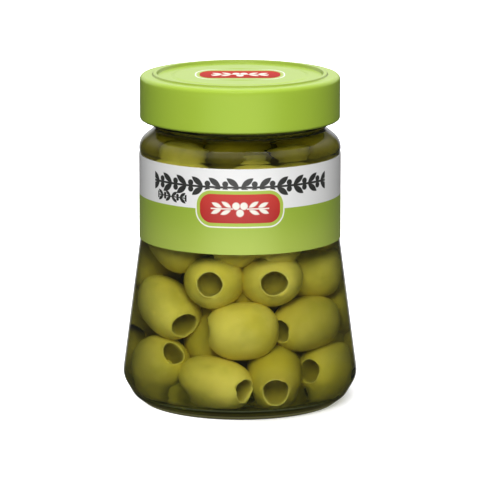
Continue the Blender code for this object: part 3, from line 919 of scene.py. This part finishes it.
def scatter_tree(variants, finish):
    """Geometry nodes that set one of the olives on each point, turned and sized as the point says."""
    tree = bpy.data.node_groups.new("pitted_olives", "GeometryNodeTree")
    tree.interface.new_socket("Places", in_out="INPUT", socket_type="NodeSocketGeometry")
    size = tree.interface.new_socket("Size", in_out="INPUT", socket_type="NodeSocketFloat")
    size.default_value = 1.0
    tree.interface.new_socket("Olives", in_out="OUTPUT", socket_type="NodeSocketGeometry")

    def add(kind, **settings):
        made = tree.nodes.new(kind)
        for name, value in settings.items():
            setattr(made, name, value)
        return made

    def attribute(name, data_type):
        made = add("GeometryNodeInputNamedAttribute", data_type=data_type)
        made.inputs["Name"].default_value = name
        return made.outputs["Attribute"]

    link = tree.links.new
    start, end = add("NodeGroupInput"), add("NodeGroupOutput")
    olives = add("GeometryNodeCollectionInfo")
    olives.inputs["Collection"].default_value = variants
    olives.inputs["Separate Children"].default_value = True
    olives.inputs["Reset Children"].default_value = True
    put = add("GeometryNodeInstanceOnPoints")
    put.inputs["Pick Instance"].default_value = True
    link(start.outputs["Places"], put.inputs["Points"])
    link(olives.outputs["Instances"], put.inputs["Instance"])
    link(attribute("variant", "INT"), put.inputs["Instance Index"])
    link(attribute("turn", "QUATERNION"), put.inputs["Rotation"])
    scale = add("ShaderNodeVectorMath", operation="SCALE")
    link(attribute("size", "FLOAT_VECTOR"), scale.inputs[0])
    link(start.outputs["Size"], scale.inputs["Scale"])
    link(scale.outputs[0], put.inputs["Scale"])
    real = add("GeometryNodeRealizeInstances")
    link(put.outputs["Instances"], real.inputs["Geometry"])
    paint = add("GeometryNodeSetMaterial")
    paint.inputs["Material"].default_value = finish
    link(real.outputs["Geometry"], paint.inputs["Geometry"])
    link(paint.outputs["Geometry"], end.inputs["Olives"])
    return tree


def pitted_olives(finish):
    """The olives, each its own, set by the same rule as the solid heap."""
    draw = np.random.default_rng(SEED)
    olives = settle(first_places(draw)) + [set_by_hand(*row) for row in BEHIND_OLIVES]
    shapes = bpy.data.collections.new("olive_variants")
    for number, (wide, deep, blunt) in enumerate(OLIVE_KINDS):
        shapes.objects.link(olive_variant(f"variant_{number}", draw, wide, deep * MM, blunt))
    count = len(olives)
    kinds = draw.integers(0, len(OLIVE_KINDS), count).astype(np.int32)
    tones = draw.uniform(*RING_TONES, count).astype(np.float32)
    tones[:len(FRONT_TONES_AND_PAINTED_LIGHT)] = FRONT_TONES_AND_PAINTED_LIGHT
    tones[-len(BEHIND_TONES_AND_PAINTED_LIGHT):] = BEHIND_TONES_AND_PAINTED_LIGHT
    turns, sizes = [], []
    for olive in olives:
        turns += list(turn_of(olive).to_quaternion())
        sizes += [olive["wide"] / OLIVE_RADIUS, olive["tall"] / OLIVE_RADIUS, olive["half"] / OLIVE_HALF]
    mesh = bpy.data.meshes.new("pitted_olives")
    mesh.from_pydata([tuple(olive["centre"]) for olive in olives], [], [])
    for name, data_type, field, values in (
        ("turn", "QUATERNION", "value", turns), ("size", "FLOAT_VECTOR", "vector", sizes),
        ("variant", "INT", "value", kinds), ("tone", "FLOAT", "value", tones),
    ):
        mesh.attributes.new(name, data_type, "POINT").data.foreach_set(field, values)
    heap = bpy.data.objects.new("pitted_olives", mesh)
    bpy.context.scene.collection.objects.link(heap)
    scatter = heap.modifiers.new("scatter", "NODES")
    scatter.node_group = scatter_tree(shapes, finish)
    for item in scatter.node_group.interface.items_tree:
        if item.name == "Size":
            scatter[item.identifier] = 1.0
    as_plain_mesh(heap)
    heap.data.shade_smooth()
    bpy.data.collections.remove(shapes)
    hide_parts("olives")
    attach(heap, "root")


def heap_core(finish):
    """The middle of the heap, painted dark as shade, a lumpy column that the olives that show lie round."""
    outline = finely([Vector((radius * MM, height * MM)) for radius, height in CORE_OUTLINE], 2 * MM)
    mesh = turned_mesh("heap_core", outline, AROUND_CORE)
    points = np.array([tuple(vertex.co) for vertex in mesh.vertices])
    angle = np.arctan2(points[:, 1], points[:, 0])
    height = points[:, 2]
    swell = 1 + 0.10 * np.sin(4 * angle + height * 330) + 0.07 * np.sin(7 * angle - height * 510)
    points[:, :2] *= swell[:, None]
    mesh.vertices.foreach_set("co", points.ravel())
    mesh.update()
    core = new_piece("heap_core", mesh, finish)
    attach(core, "root")


def add_lamp(name, place, aim, size, power, mirrored):
    light = bpy.data.lights.new(name, "AREA")
    light.shape = "RECTANGLE"
    light.size, light.size_y = size
    light.energy = power
    made = bpy.data.objects.new(name, light)
    made.location = place
    made.rotation_euler = (Vector(aim) - Vector(place)).to_track_quat("-Z", "Y").to_euler()
    made.visible_transmission = False
    made.visible_glossy = mirrored
    bpy.context.scene.collection.objects.link(made)


def camera_at_photo_view():
    camera = bpy.data.objects.new("camera", bpy.data.cameras.new("camera"))
    lean = math.radians(CAMERA_HEIGHT_DEGREES)
    camera.location = (0, -CAMERA_DISTANCE * math.cos(lean), LOOK_AT + CAMERA_DISTANCE * math.sin(lean))
    camera.rotation_euler = (math.pi / 2 - lean, 0, 0)
    camera.data.lens = LENS
    camera.data.sensor_width = 36.0
    camera.data.clip_start = 0.01
    bpy.context.scene.collection.objects.link(camera)
    bpy.context.scene.camera = camera


def white_floor(finish):
    """The table, which lights nothing and shows in no reflection."""
    reach = FLOOR_REACH
    corners = [(-reach, -reach), (reach, -reach), (reach, reach), (-reach, reach)]
    mesh = bpy.data.meshes.new("floor")
    mesh.from_pydata([(x, y, FLOOR_LEVEL) for x, y in corners], [], [(0, 1, 2, 3)])
    mesh.materials.append(finish)
    floor = bpy.data.objects.new("floor", mesh)
    floor.visible_glossy = False
    floor.visible_transmission = False
    floor.visible_diffuse = False
    bpy.context.scene.collection.objects.link(floor)


def soft_world():
    """The room. The eye sees it plain white. It lights the pieces softly from above, and their gloss also
    shows a bright table in front and a bright far side. In the glass it is dim, so that edges stay dark."""
    nodes = Nodes(bpy.data.worlds.new("studio"))
    x, y, z = nodes.split(nodes.node("TexCoord", out="Generated"))
    overhead = z.ramp(0.10, 0.75) * (1.0 - abs(x).ramp(0.5, 1.0) * 0.6) * 0.6
    table_in_front = (-y).ramp(0.55, 0.98) * (-z).ramp(-0.05, 0.35)
    far_side = y.ramp(0.0, 0.6) * z.ramp(0.0, 0.15)
    far_window = y.ramp(0.90, 0.98)
    eye, sharp, through, gloss = (
        nodes.node("LightPath", out=f"Is {kind} Ray")
        for kind in ("Camera", "Singular", "Transmission", "Glossy")
    )
    in_glass = (overhead + far_window * 0.7) * (1.0 - through) + through * 0.09 + 0.03
    on_pieces = overhead.most(0.10) + gloss * (table_in_front * 3.4 + far_side * 1.15)
    strength = in_glass * sharp + on_pieces * (1.0 - sharp)
    white = (1.0, 1.0, 1.0)
    light = nodes.node("Background", sockets={"Color": white, "Strength": strength})
    seen = nodes.node("Background", sockets={"Color": white, "Strength": 1.0})
    both = nodes.node("MixShader", sockets={0: eye, 1: light, 2: seen})
    bpy.context.scene.world = nodes.finish(both, kind="World")


def studio():
    """Camera at the photo's view, a white floor and soft light."""
    bpy.context.scene.view_settings.view_transform = "Standard"
    camera_at_photo_view()
    white_floor(studio_floor())
    soft_world()
    for name, settings in LAMPS.items():
        add_lamp(name, *settings)


studio()
glass_jar(clear_glass())
brine_fill(brine())
lid(lid_lacquer())
label(label_print())
pitted_olives(olive_skin())
heap_core(painted_shade_core())
